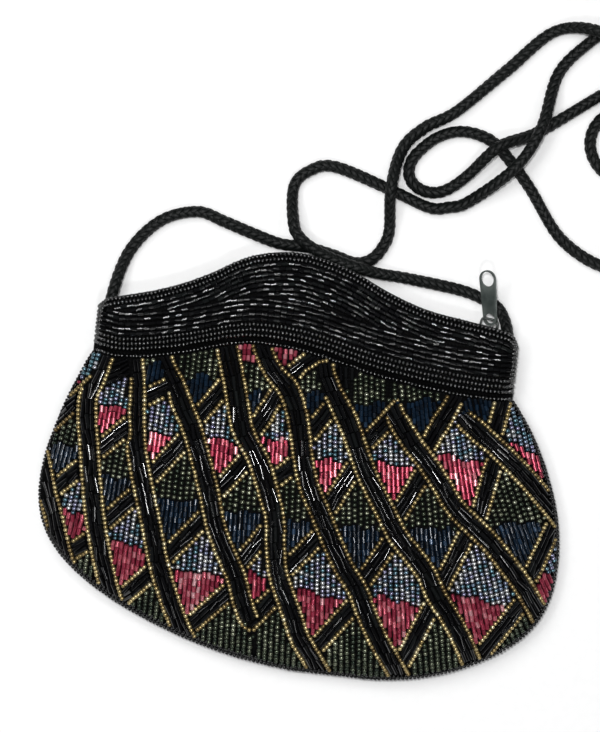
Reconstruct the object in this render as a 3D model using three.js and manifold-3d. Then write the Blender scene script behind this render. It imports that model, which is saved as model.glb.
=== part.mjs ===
// A beaded evening bag lying on its back: a gathered pouch under a humped band, an open zip in the mouth
// and a long braided strap. Millimetres: +X runs along the band, +Y towards its hump, +Z up from the surface.
import * as THREE from 'three';
import { mergeVertices } from 'three/addons/utils/BufferGeometryUtils.js';
import Module from 'manifold-3d';

const wasm = await Module();
wasm.setup();
const { clamp, degToRad, lerp } = THREE.MathUtils;

// Driving dimensions
const mouthGap = 8.4; // between the two halves of the band
const bandWall = 2.4; // beads, cloth and stiffening together
const bandCorner = 5.5; // radius of the band's rounded ends
const bandBow = 0.8; // how far the front of the band swells
const pouchWall = 2.6; // beads and cloth together
const pouchHigh = 27; // thickness of the pouch at its crown
const pouchTop = 36.4; // height on Y of the pouch's upper corners
const pouchSwell = 45; // length below the band over which the pouch fills out
const frontRound = 56; // width of the front's rounding inside the seam
const frontSoft = 1.4; // power that flattens this rounding near the seam
const backRound = 14; // width of the back's rounding inside the seam
const seamGap = 0.3; // between the two panels at the seam
const rowCrowd = 0.6; // how far the pouch's rows of points crowd towards its top and bottom
const columnCrowd = 0.5; // how far its columns crowd towards the seams
const bandGap = 0.6; // between the band and the pouch below it
const tapeThick = 0.6;
const coilThick = 1.6;
const coilHigh = 1.9;
const coilDown = 2.4; // middle of the coil below the band's upper edge
const tapeDown = 13; // lower edge of the tape below the band's upper edge
const zipFrom = -80.5; // left end of the zip
const tapeShort = 0.5; // between the tapes and the slider
const zipClosing = 30; // where the open halves start to draw together
const cordThick = 5;
const seamZ = bandWall + mouthGap / 2;

// The band: its upper and lower edges at places along it
const bandRows = [
  { x: -89.9, upper: 53.2, lower: 37.5 },
  { x: -86.5, upper: 55.8, lower: 36.6 },
  { x: -78.3, upper: 58.2, lower: 35.6 },
  { x: -66.3, upper: 61.6, lower: 37.2 },
  { x: -53.3, upper: 66.8, lower: 40.2 },
  { x: -43.3, upper: 72.1, lower: 43.2 },
  { x: -35.3, upper: 77.1, lower: 45.5 },
  { x: -25.3, upper: 80.9, lower: 47.1 },
  { x: -11.3, upper: 82.6, lower: 46.7 },
  { x: 0.7, upper: 80.6, lower: 44.9 },
  { x: 11.7, upper: 77.1, lower: 42.4 },
  { x: 24.7, upper: 71.2, lower: 39.7 },
  { x: 40.7, upper: 65.8, lower: 37.4 },
  { x: 56.7, upper: 63.3, lower: 35.8 },
  { x: 68.7, upper: 61.6, lower: 35.3 },
  { x: 76.5, upper: 59.6, lower: 35.6 },
  { x: 79.7, upper: 55.4, lower: 36.2 },
];

// The pouch: its left and right seams at distances down from its upper corners
const pouchRows = [
  { down: 0, left: -88.6, right: 79.0 },
  { down: 4, left: -91.4, right: 82.2 },
  { down: 11, left: -94.2, right: 87.4 },
  { down: 21, left: -98.3, right: 93.3 },
  { down: 32, left: -101.5, right: 98.3 },
  { down: 43, left: -104.4, right: 102.3 },
  { down: 54, left: -105.6, right: 104.8 },
  { down: 65, left: -105.2, right: 105.6 },
  { down: 75, left: -101.9, right: 105.3 },
  { down: 84, left: -95.5, right: 103.0 },
  { down: 92, left: -86.0, right: 99.5 },
  { down: 100, left: -73.0, right: 92.0 },
  { down: 107, left: -57.0, right: 82.5 },
  { down: 113, left: -40.0, right: 70.5 },
  { down: 117, left: -25.0, right: 59.5 },
  { down: 119.5, left: -12.0, right: 51.0 },
  { down: 120.8, left: 2.0, right: 38.0 },
];
const pouchDrop = pouchRows.at(-1).down;

// The gathers: where each fold leaves the band, how far it wanders, how long, deep and wide it is
const foldRows = [
  { x: -77, shift: 8, reach: 42, depth: 2.9, wide: 5 },
  { x: -55, shift: 3, reach: 34, depth: 1.8, wide: 5 },
  { x: -33, shift: 24, reach: 118, depth: 4.0, wide: 7 },
  { x: -14, shift: 12, reach: 60, depth: 2.2, wide: 5 },
  { x: 12, shift: 2, reach: 30, depth: 3.1, wide: 5 },
  { x: 33, shift: 8, reach: 36, depth: 1.7, wide: 5 },
  { x: 48, shift: 8, reach: 30, depth: 1.7, wide: 5 },
  { x: 63, shift: 9, reach: 40, depth: 2.4, wide: 5 },
];

const foldStart = 0.6; // share of a fold's depth at the band
const foldFull = 12; // distance over which it gets its whole depth

// The strap: one cord from the left end of the band to the right end, low where another stretch lies on it
const onFloor = cordThick / 2;
const onCord = onFloor + cordThick + 0.8;
const strapRows = [
  // out of the left end, along the hump and up
  { x: -84.5, y: 45, z: seamZ },
  { x: -84.5, y: 58, z: seamZ - 0.4 },
  { x: -79.6, y: 76, z: onFloor },
  { x: -68.6, y: 89.3, z: onFloor },
  { x: -54.5, y: 94.5, z: onFloor },
  { x: -43, y: 91.7, z: onFloor },
  { x: -32.5, y: 88.6, z: onFloor },
  { x: -21.5, y: 85.7, z: onFloor },
  { x: -15, y: 85.3, z: onFloor },
  { x: -8, y: 85.2, z: onFloor },
  { x: 2, y: 83.3, z: onFloor },
  { x: 10.5, y: 81.2, z: onFloor },
  { x: 16.8, y: 83.2, z: onFloor },
  { x: 20.9, y: 88.6, z: onFloor },
  { x: 22.8, y: 96, z: onFloor + 0.3 },
  { x: 21.5, y: 112, z: onCord },
  { x: 24.3, y: 128.6, z: onFloor },
  { x: 32.2, y: 138.2, z: onFloor },
  { x: 44.2, y: 146.2, z: onFloor },
  { x: 62.2, y: 164.6, z: onFloor },
  { x: 80, y: 182.6, z: onFloor },
  { x: 97.6, y: 183.9, z: onCord },
  // round two bends at the right to the middle loop
  { x: 114.6, y: 175.2, z: onFloor },
  { x: 118.4, y: 167.4, z: onFloor },
  { x: 114.8, y: 160, z: onFloor },
  { x: 106.4, y: 153.9, z: onFloor },
  { x: 100.4, y: 147, z: onFloor },
  { x: 98.9, y: 139.6, z: onFloor },
  { x: 101.6, y: 132.6, z: onFloor },
  { x: 107.6, y: 128, z: onFloor },
  { x: 124, y: 124.4, z: onFloor },
  { x: 131.8, y: 119.8, z: onFloor },
  { x: 135.6, y: 112, z: onFloor },
  { x: 134.4, y: 103, z: onFloor },
  { x: 129, y: 95.8, z: onFloor },
  { x: 112, y: 90.6, z: onFloor },
  { x: 92, y: 99.8, z: onFloor },
  { x: 76, y: 120, z: onFloor },
  { x: 62.6, y: 133.8, z: onFloor },
  { x: 54.4, y: 137.8, z: onFloor },
  { x: 45.6, y: 138.2, z: onFloor },
  { x: 37.6, y: 134.8, z: onFloor },
  { x: 31.6, y: 129.2, z: onFloor },
  { x: 28.6, y: 124.6, z: onFloor },
  { x: 27.9, y: 120.2, z: onFloor },
  { x: 29.2, y: 116.6, z: onFloor },
  { x: 32.2, y: 114, z: onFloor },
  { x: 36.3, y: 112.8, z: onFloor },
  { x: 41, y: 113.2, z: onFloor },
  { x: 46, y: 116, z: onFloor + 0.3 },
  { x: 52, y: 121.7, z: onFloor + 1.5 },
  { x: 62.6, y: 133.7, z: onCord },
  { x: 78, y: 141.8, z: onFloor },
  { x: 100.3, y: 158.6, z: onFloor },
  { x: 118.2, y: 170.8, z: onCord },
  // back through a bend, over the middle loop and round a circle
  { x: 127, y: 185, z: onFloor },
  { x: 127.4, y: 191.8, z: onFloor },
  { x: 123.6, y: 196.6, z: onFloor },
  { x: 115.6, y: 198.4, z: onFloor },
  { x: 106.8, y: 194.2, z: onFloor },
  { x: 97.6, y: 183.4, z: onFloor },
  { x: 83.6, y: 166.8, z: onFloor },
  { x: 78.6, y: 143.4, z: onCord },
  { x: 70.2, y: 126.4, z: onCord },
  { x: 53.4, y: 110.9, z: onFloor },
  { x: 45.4, y: 107.6, z: onFloor },
  { x: 37.4, y: 106.7, z: onFloor },
  { x: 21.4, y: 112, z: onFloor },
  { x: -1.5, y: 118.6, z: onFloor },
  { x: -11.5, y: 116, z: onFloor },
  { x: -17.2, y: 108.6, z: onFloor },
  // along the hump on top of the first stretch, a little into the mouth, and into the right end
  { x: -15.4, y: 93.2, z: onCord - 0.9 },
  { x: -11.2, y: 87.6, z: onCord },
  { x: -6.6, y: 84.8, z: onCord },
  { x: -2, y: 82.7, z: onCord },
  { x: 4.6, y: 80.8, z: onCord },
  { x: 11.4, y: 79.3, z: onCord },
  { x: 21, y: 78, z: onFloor + 2 },
  { x: 32, y: 77.4, z: onFloor + 0.3 },
  { x: 53.5, y: 75.2, z: onFloor },
  { x: 63.4, y: 72.5, z: onFloor },
  { x: 70.5, y: 69, z: onFloor + 0.4 },
  { x: 74.5, y: 59.4, z: seamZ - 0.4 },
  { x: 74.5, y: 46.6, z: seamZ },
];
const strapSteps = 122;
const strapSides = 10;
const wireSteps = 18;
const wireSides = 8;
const plateSegments = 9;
const frontGrid = { across: 56, along: 18 };
const backGrid = { across: 32, along: 14 };

// The slider and its pull
const slider = { x: 66.2, long: 8, wide: 6.4, high: 4.7, slope: degToRad(-8), corner: 0.8, taper: 0.6 };
const channel = { wide: 2.2, high: 2.5, off: 1.45, back: 1.5, exitFrom: 1, exitWide: 3.4 };
const bail = { wire: 0.5, span: 6.6, rise: 2.8, sunk: 0.4, corner: 0.7, knee: 0.6, tension: 0.3 };
const pull = { long: 16.4, eye: 3.7, eyeHigh: 3.6, low: 3, rim: 0.9, thick: 1 };
const pullTurn = { lean: degToRad(10.6), lift: degToRad(11), twist: degToRad(35) };
const eyeHole = { wide: 3.05, high: 3.0 };
const bailHole = { wide: 2.3, high: 2.0, up: 0.4 };

// Looks
const looks = {
  beads: { color: 0x1a1b1d, roughness: 0.3, metalness: 0 },
  cloth: { color: 0x101112, roughness: 0.85, metalness: 0 },
  coil: { color: 0x141516, roughness: 0.45, metalness: 0 },
  metal: { color: 0x3a4240, roughness: 0.35, metalness: 0.9 },
};

// A smooth curve through the named columns of a table
function columns(rows, along, ...names) {
  const places = rows.map((row) => row[along]);
  const values = rows.flatMap((row) => names.map((name) => row[name]));
  const curve = new THREE.CubicInterpolant(places, values, names.length);
  return (place) => Object.fromEntries([...curve.evaluate(place)].map((value, k) => [names[k], value]));
}

const bandEdges = columns(bandRows, 'x', 'upper', 'lower');
const pouchSides = columns(pouchRows, 'down', 'left', 'right');

function named(name, geometry, look) {
  const mesh = new THREE.Mesh(geometry, new THREE.MeshStandardMaterial(looks[look]));
  mesh.name = name;
  return mesh;
}

// A closed sheet: an outer grid of points, an inner one behind it and the rim between them
function sheet(outer, inner, facesDown) {
  const rowEnd = outer.length - 1;
  const columnEnd = outer[0].length - 1;
  const behind = (rowEnd + 1) * (columnEnd + 1);
  const at = (row, column) => row * (columnEnd + 1) + column;
  const index = [];
  const quad = (a, b, c, d) => index.push(...(facesDown ? [a, c, b, a, d, c] : [a, b, c, a, c, d]));
  const rim = (near, far) => quad(far, near, behind + near, behind + far);
  for (let row = 0; row < rowEnd; row += 1) {
    for (let column = 0; column < columnEnd; column += 1) {
      const corners = [at(row, column), at(row + 1, column), at(row + 1, column + 1), at(row, column + 1)];
      quad(...corners);
      quad(...corners.map((corner) => corner + behind).reverse());
    }
    rim(at(row, 0), at(row + 1, 0));
    rim(at(row + 1, columnEnd), at(row, columnEnd));
  }
  for (let column = 0; column < columnEnd; column += 1) {
    rim(at(0, column + 1), at(0, column));
    rim(at(rowEnd, column), at(rowEnd, column + 1));
  }
  const geometry = new THREE.BufferGeometry().setFromPoints([...outer.flat(), ...inner.flat()]);
  geometry.setIndex(index);
  geometry.computeVertexNormals();
  return geometry;
}

// Half of the band: a flat wall whose ends turn towards the other half at the side seams
function bandHalf(side) {
  const left = bandRows[0].x;
  const right = bandRows.at(-1).x;
  const arcSteps = 5;
  const flatSteps = 30;
  const upSteps = 3;
  const path = [];
  for (let step = 0; step <= arcSteps; step += 1) {
    const turn = (Math.PI / 2) * (step / arcSteps);
    path.push({ x: left + bandCorner * (1 - Math.cos(turn)), across: -Math.cos(turn), out: Math.sin(turn) });
  }
  for (let step = 1; step < flatSteps; step += 1) {
    path.push({ x: lerp(left + bandCorner, right - bandCorner, step / flatSteps), across: 0, out: 1 });
  }
  for (let step = arcSteps; step >= 0; step -= 1) {
    const turn = (Math.PI / 2) * (step / arcSteps);
    path.push({ x: right - bandCorner * (1 - Math.cos(turn)), across: Math.cos(turn), out: Math.sin(turn) });
  }
  const high = seamZ - seamGap / 2;
  const outer = [];
  const inner = [];
  for (let step = 0; step <= upSteps; step += 1) {
    const share = step / upSteps;
    const bow = side > 0 ? bandBow * 4 * share * (1 - share) : 0;
    const row = path.map(({ x, out }) => {
      const { upper, lower } = bandEdges(x);
      const z = seamZ + side * (seamGap / 2 + (high + bow) * out);
      return new THREE.Vector3(x, lerp(upper, lower, share), z);
    });
    outer.push(row);
    inner.push(row.map((point, k) => {
      const { across, out } = path[k];
      return new THREE.Vector3(point.x - bandWall * across, point.y, point.z - side * bandWall * out);
    }));
  }
  return sheet(outer, inner, side < 0);
}

// A place on the pouch seen from the front: a share of the way from seam to seam, and a distance down
function pouchPlace(share, down) {
  const { left, right } = pouchSides(down);
  const seam = bandEdges(lerp(pouchRows[0].left, pouchRows[0].right, share)).lower - bandGap;
  const fade = (1 - down / pouchDrop) ** 2;
  return new THREE.Vector3(lerp(left, right, share), pouchTop - down + (seam - pouchTop) * fade, 0);
}

const rimSteps = 90;
const rimLines = [];
for (let step = 0; step < rimSteps; step += 1) {
  const [near, far] = [step / rimSteps, (step + 1) / rimSteps];
  for (const side of [0, 1]) {
    rimLines.push(new THREE.Line3(pouchPlace(side, near * pouchDrop), pouchPlace(side, far * pouchDrop)));
  }
  rimLines.push(new THREE.Line3(pouchPlace(near, pouchDrop), pouchPlace(far, pouchDrop)));
}

function rimDistance(place) {
  const nearest = new THREE.Vector3();
  const reach = (line) => line.closestPointToPoint(place, true, nearest).distanceTo(place);
  return Math.min(...rimLines.map(reach));
}

// A quarter round from 0 at the seam to 1 at its full width
function quarterRound(share) {
  return Math.sqrt(1 - (1 - clamp(share, 0, 1)) ** 2);
}

function foldDepth(place, down) {
  let depth = 0;
  for (const fold of foldRows) {
    const along = down / fold.reach;
    const middle = fold.x + fold.shift * along;
    const fade = Math.max(0, 1 - along ** 2) * Math.min(1, foldStart + down / foldFull);
    depth += fold.depth * fade * Math.exp(-(((place.x - middle) / fold.wide) ** 2));
  }
  return depth;
}

// Half of the pouch: a wall that is hollow inside, full in front and flat where it rests
function pouchHalf(side, { across, along }) {
  const high = seamZ - seamGap / 2;
  const outer = [];
  for (let row = 0; row <= along; row += 1) {
    const even = row / along;
    const down = pouchDrop * lerp(even, (1 - Math.cos(Math.PI * even)) / 2, rowCrowd);
    const swell = 1 - (1 - Math.min(1, down / pouchSwell)) ** 2;
    const line = [];
    for (let column = 0; column <= across; column += 1) {
      const share = column / across;
      const place = pouchPlace(lerp(share, (1 - Math.cos(Math.PI * share)) / 2, columnCrowd), down);
      const onRim = column === 0 || column === across || row === along;
      const inside = onRim ? 0 : rimDistance(place);
      const full = side > 0 ? lerp(high, pouchHigh - seamZ, swell) : high;
      const width = lerp(bandCorner, side > 0 ? frontRound : backRound, swell);
      const soft = lerp(1, side > 0 ? frontSoft : 1, swell);
      const rise = quarterRound(inside / width) ** soft;
      const fold = side > 0 ? foldDepth(place, down) * rise : 0;
      place.z = seamZ + side * (seamGap / 2 + full * rise) - fold;
      line.push(place);
    }
    outer.push(line);
  }
  return sheet(outer, pouchInside(outer, side), side < 0);
}

// The inner face of the pouch, one wall behind the outer, with its rim square to the seam and the band
function pouchInside(outer, side) {
  const rowEnd = outer.length - 1;
  const columnEnd = outer[0].length - 1;
  return outer.map((line, row) => line.map((point, column) => {
    const rightwards = line[Math.min(column + 1, columnEnd)].clone().sub(line[Math.max(column - 1, 0)]);
    const [above, below] = [outer[Math.max(row - 1, 0)][column], outer[Math.min(row + 1, rowEnd)][column]];
    const downwards = below.clone().sub(above);
    const normal = downwards.cross(rightwards).multiplyScalar(side);
    if (row === 0) normal.y = 0;
    if (column === 0 || column === columnEnd || row === rowEnd) normal.z = 0;
    return point.clone().addScaledVector(normal.normalize(), -pouchWall);
  }));
}

// How far each half of the zip stands from the middle of the mouth: apart, then together at the slider
function zipSpread(x) {
  const open = mouthGap / 2 - seamGap - coilThick / 2;
  const closing = clamp((x - zipClosing) / (slider.x - slider.long / 2 - zipClosing), 0, 1);
  return lerp(open, channel.off, closing * closing * (3 - 2 * closing));
}

// A flat strip that follows the band's upper edge inside the mouth
function zipStrip({ from, to, upper, lower, thick, middle }) {
  const steps = 34;
  const edges = [upper, lower];
  const face = (lift) => edges.map((edge) => Array.from({ length: steps + 1 }, (_, step) => {
    const x = lerp(from, to, step / steps);
    return new THREE.Vector3(x, bandEdges(x).upper - edge, middle(x) + lift);
  }));
  return sheet(face(thick / 2), face(-thick / 2), false);
}

const tapeTo = slider.x - slider.long / 2 - tapeShort;

function zipTape(side) {
  const away = mouthGap / 2 - seamGap - tapeThick / 2;
  const upper = coilDown + coilHigh / 2 + seamGap;
  const middle = () => seamZ + side * away;
  return zipStrip({ from: zipFrom, to: tapeTo, upper, lower: tapeDown, thick: tapeThick, middle });
}

function zipCoil(side) {
  const upper = coilDown - coilHigh / 2;
  const middle = (x) => seamZ + side * zipSpread(x);
  return zipStrip({ from: zipFrom, to: slider.x, upper, lower: upper + coilHigh, thick: coilThick, middle });
}

// Joins and cuts of closed meshes
function solid(geometry) {
  const bare = geometry.clone();
  bare.deleteAttribute('normal');
  bare.deleteAttribute('uv');
  const merged = mergeVertices(bare, 1e-4);
  const vertProperties = new Float32Array(merged.attributes.position.array);
  const triVerts = new Uint32Array(merged.index.array);
  return new wasm.Manifold(new wasm.Mesh({ numProp: 3, vertProperties, triVerts }));
}

function geometryOf(manifold) {
  const { vertProperties, triVerts } = manifold.getMesh();
  const geometry = new THREE.BufferGeometry();
  geometry.setAttribute('position', new THREE.BufferAttribute(new Float32Array(vertProperties), 3));
  geometry.setIndex(new THREE.BufferAttribute(new Uint32Array(triVerts), 1));
  geometry.computeVertexNormals();
  return geometry;
}

// A round section drawn along a path
function tube(path, radius, steps, sides) {
  const section = new THREE.Shape();
  for (let side = 0; side < sides; side += 1) {
    const turn = (2 * Math.PI * side) / sides;
    const corner = [radius * Math.cos(turn), radius * Math.sin(turn)];
    if (side === 0) section.moveTo(...corner);
    else section.lineTo(...corner);
  }
  return new THREE.ExtrudeGeometry(section, { steps, extrudePath: path, curveSegments: 1 });
}

// The slider in its own frame: X along the zip, Y out of the mouth, Z across the mouth
function sliderBody() {
  const { long, wide, high, corner, taper } = slider;
  const [end, edge] = [long / 2, wide / 2];
  const half = [
    new THREE.Vector2(-end, edge - corner),
    new THREE.Vector2(-end + corner, edge),
    new THREE.Vector2(0, edge),
    new THREE.Vector2(end - corner, edge - taper),
    new THREE.Vector2(end, edge - taper - corner),
  ];
  const mirrored = half.map(({ x, y }) => new THREE.Vector2(x, -y));
  const plate = new THREE.Shape([...mirrored, ...half.reverse()]);
  const body = new THREE.ExtrudeGeometry(plate, { depth: high, bevelEnabled: false });
  body.translate(0, 0, -high / 2).rotateX(-Math.PI / 2);
  let result = solid(body);
  for (const side of [-1, 1]) {
    const way = new THREE.BoxGeometry(long, channel.high, channel.wide);
    way.translate(-channel.back, 0, side * channel.off);
    result = result.subtract(solid(way));
  }
  const exit = new THREE.BoxGeometry(long, channel.high, channel.exitWide);
  exit.translate(end + channel.exitFrom, 0, 0);
  result = result.subtract(solid(exit));
  const leg = bail.span / 2;
  const foot = high / 2 - bail.sunk;
  const top = high / 2 + bail.rise;
  const knee = lerp(foot, top, bail.knee);
  const wire = new THREE.CatmullRomCurve3([
    new THREE.Vector3(-leg, foot, 0),
    new THREE.Vector3(-leg, knee, 0),
    new THREE.Vector3(-leg + bail.corner, top, 0),
    new THREE.Vector3(leg - bail.corner, top, 0),
    new THREE.Vector3(leg, knee, 0),
    new THREE.Vector3(leg, foot, 0),
  ], false, 'catmullrom', bail.tension);
  return geometryOf(result.add(solid(tube(wire, bail.wire, wireSteps, wireSides))));
}

// The pull in its own frame: X across it, Y from the bail to its eye, Z out of its face
function pullPlate() {
  const { long, eye, eyeHigh, low, rim, thick } = pull;
  const plate = new THREE.Shape();
  plate.moveTo(-low, 0);
  plate.lineTo(-eye, long);
  plate.absellipse(0, long, eye, eyeHigh, Math.PI, 0, true);
  plate.lineTo(low, 0);
  plate.absellipse(0, 0, low, bailHole.high - bailHole.up + rim, 0, -Math.PI, true);
  const round = (wide, high, up) => new THREE.Path().absellipse(0, up, wide, high, 0, 2 * Math.PI, false);
  plate.holes.push(round(eyeHole.wide, eyeHole.high, long));
  plate.holes.push(round(bailHole.wide, bailHole.high, bailHole.up));
  const flat = { depth: thick, bevelEnabled: false, curveSegments: plateSegments };
  const geometry = new THREE.ExtrudeGeometry(plate, flat);
  return geometry.translate(0, 0, -thick / 2);
}

// The strap's line: a smooth route in plan whose height eases from one point to the next and never dips
class LaidCurve extends THREE.Curve {
  constructor(rows) {
    super();
    this.heights = rows.map(({ z }) => z);
    const route = rows.map(({ x, y }) => new THREE.Vector3(x, y, 0));
    this.plan = new THREE.CatmullRomCurve3(route, false, 'catmullrom', 0.5);
  }

  getPoint(t, target = new THREE.Vector3()) {
    const spans = this.heights.length - 1;
    const span = Math.min(Math.floor(t * spans), spans - 1);
    const share = t * spans - span;
    this.plan.getPoint(t, target);
    target.z = lerp(this.heights[span], this.heights[span + 1], share * share * (3 - 2 * share));
    return target;
  }
}

const strapPath = new LaidCurve(strapRows);

const bag = new THREE.Group();
bag.add(named('pouch_front', pouchHalf(1, frontGrid), 'beads'));
bag.add(named('pouch_back', pouchHalf(-1, backGrid), 'beads'));
for (const [place, side] of [['front', 1], ['back', -1]]) {
  bag.add(named(`band_${place}`, bandHalf(side), 'beads'));
  bag.add(named(`zip_tape_${place}`, zipTape(side), 'cloth'));
  bag.add(named(`zip_coil_${place}`, zipCoil(side), 'coil'));
}
bag.add(named('strap_cord', tube(strapPath, cordThick / 2, strapSteps, strapSides), 'cloth'));

const sliderPlace = new THREE.Group();
sliderPlace.position.set(slider.x, bandEdges(slider.x).upper - coilDown, seamZ);
sliderPlace.rotation.z = slider.slope;
sliderPlace.add(named('zip_slider', sliderBody(), 'metal'));
const pullMesh = named('zip_pull', pullPlate(), 'metal');
pullMesh.position.y = slider.high / 2 + bail.rise;
pullMesh.rotation.set(pullTurn.lift, -pullTurn.twist, pullTurn.lean - slider.slope, 'ZXY');
sliderPlace.add(pullMesh);
bag.add(sliderPlace);

export default bag;
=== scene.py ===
# A beaded evening bag lying on a pale floor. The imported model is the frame; the beads, cloth, zip and braid
# are made here. Tables are in millimetres in the part's own frame, meshes in metres.
import math

import bmesh
import bpy
import numpy as np
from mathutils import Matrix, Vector
from mathutils.bvhtree import BVHTree


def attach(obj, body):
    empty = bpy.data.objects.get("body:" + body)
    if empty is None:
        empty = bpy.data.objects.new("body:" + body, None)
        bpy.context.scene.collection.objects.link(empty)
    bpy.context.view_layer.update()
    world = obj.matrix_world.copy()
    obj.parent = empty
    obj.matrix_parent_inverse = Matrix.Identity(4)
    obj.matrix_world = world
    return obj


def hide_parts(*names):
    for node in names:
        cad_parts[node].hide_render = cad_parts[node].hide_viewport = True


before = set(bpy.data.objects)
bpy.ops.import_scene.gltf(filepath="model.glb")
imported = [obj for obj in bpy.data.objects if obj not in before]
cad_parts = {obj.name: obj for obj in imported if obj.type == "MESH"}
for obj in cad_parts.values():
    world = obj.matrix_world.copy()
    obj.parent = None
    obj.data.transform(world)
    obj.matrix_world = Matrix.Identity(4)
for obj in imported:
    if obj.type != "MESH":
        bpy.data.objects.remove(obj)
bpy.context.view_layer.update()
draw = np.random.default_rng(11)
MM = 0.001

# The bag's own sizes, as in the part's source
SEAM_Z = 6.6
SEAM_GAP = 0.3
BAND_CORNER = 5.5
BAND_BOW = 0.8
BAND_GAP = 0.6
MOUTH_GAP = 8.4
COIL_DOWN = 2.4
COIL_THICK = 1.6
SLIDER_X = 66.2
SLIDER_LONG = 8.0
CHANNEL_OFF = 1.45
ZIP_FROM = -80.5
ZIP_CLOSING = 30.0
CORD_THICK = 5.0

band_rows = np.array([
    (-89.9, 53.2, 37.5), (-86.5, 55.8, 36.6), (-78.3, 58.2, 35.6), (-66.3, 61.6, 37.2), (-53.3, 66.8, 40.2),
    (-43.3, 72.1, 43.2), (-35.3, 77.1, 45.5), (-25.3, 80.9, 47.1), (-11.3, 82.6, 46.7), (0.7, 80.6, 44.9),
    (11.7, 77.1, 42.4), (24.7, 71.2, 39.7), (40.7, 65.8, 37.4), (56.7, 63.3, 35.8), (68.7, 61.6, 35.3),
    (76.5, 59.6, 35.6), (79.7, 55.4, 36.2),
])

ON_FLOOR = CORD_THICK / 2
ON_CORD = ON_FLOOR + CORD_THICK + 0.8
strap_rows = np.array([
    (-84.5, 45, SEAM_Z), (-84.5, 58, SEAM_Z - 0.4), (-79.6, 76, ON_FLOOR), (-68.6, 89.3, ON_FLOOR),
    (-54.5, 94.5, ON_FLOOR), (-43, 91.7, ON_FLOOR), (-32.5, 88.6, ON_FLOOR), (-21.5, 85.7, ON_FLOOR),
    (-15, 85.3, ON_FLOOR), (-8, 85.2, ON_FLOOR), (2, 83.3, ON_FLOOR), (10.5, 81.2, ON_FLOOR),
    (16.8, 83.2, ON_FLOOR), (20.9, 88.6, ON_FLOOR), (22.8, 96, ON_FLOOR + 0.3), (21.5, 112, ON_CORD),
    (24.3, 128.6, ON_FLOOR), (32.2, 138.2, ON_FLOOR), (44.2, 146.2, ON_FLOOR), (62.2, 164.6, ON_FLOOR),
    (80, 182.6, ON_FLOOR), (97.6, 183.9, ON_CORD), (114.6, 175.2, ON_FLOOR), (118.4, 167.4, ON_FLOOR),
    (114.8, 160, ON_FLOOR), (106.4, 153.9, ON_FLOOR), (100.4, 147, ON_FLOOR), (98.9, 139.6, ON_FLOOR),
    (101.6, 132.6, ON_FLOOR), (107.6, 128, ON_FLOOR), (124, 124.4, ON_FLOOR), (131.8, 119.8, ON_FLOOR),
    (135.6, 112, ON_FLOOR), (134.4, 103, ON_FLOOR), (129, 95.8, ON_FLOOR), (112, 90.6, ON_FLOOR),
    (92, 99.8, ON_FLOOR), (76, 120, ON_FLOOR), (62.6, 133.8, ON_FLOOR), (54.4, 137.8, ON_FLOOR),
    (45.6, 138.2, ON_FLOOR), (37.6, 134.8, ON_FLOOR), (31.6, 129.2, ON_FLOOR), (28.6, 124.6, ON_FLOOR),
    (27.9, 120.2, ON_FLOOR), (29.2, 116.6, ON_FLOOR), (32.2, 114, ON_FLOOR), (36.3, 112.8, ON_FLOOR),
    (41, 113.2, ON_FLOOR), (46, 116, ON_FLOOR + 0.3), (52, 121.7, ON_FLOOR + 1.5), (62.6, 133.7, ON_CORD),
    (78, 141.8, ON_FLOOR), (100.3, 158.6, ON_FLOOR), (118.2, 170.8, ON_CORD), (127, 185, ON_FLOOR),
    (127.4, 191.8, ON_FLOOR), (123.6, 196.6, ON_FLOOR), (115.6, 198.4, ON_FLOOR),
    (106.8, 194.2, ON_FLOOR), (97.6, 183.4, ON_FLOOR), (83.6, 166.8, ON_FLOOR), (78.6, 143.4, ON_CORD),
    (70.2, 126.4, ON_CORD), (53.4, 110.9, ON_FLOOR), (45.4, 107.6, ON_FLOOR), (37.4, 106.7, ON_FLOOR),
    (21.4, 112, ON_FLOOR), (-1.5, 118.6, ON_FLOOR), (-11.5, 116, ON_FLOOR), (-17.2, 108.6, ON_FLOOR),
    (-15.4, 93.2, ON_CORD - 0.9), (-11.2, 87.6, ON_CORD), (-6.6, 84.8, ON_CORD), (-2, 82.7, ON_CORD),
    (4.6, 80.8, ON_CORD), (11.4, 79.3, ON_CORD), (21, 78, ON_FLOOR + 2), (32, 77.4, ON_FLOOR + 0.3),
    (53.5, 75.2, ON_FLOOR), (63.4, 72.5, ON_FLOOR), (70.5, 69, ON_FLOOR + 0.4),
    (74.5, 59.4, SEAM_Z - 0.4), (74.5, 46.6, SEAM_Z),
])

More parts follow.
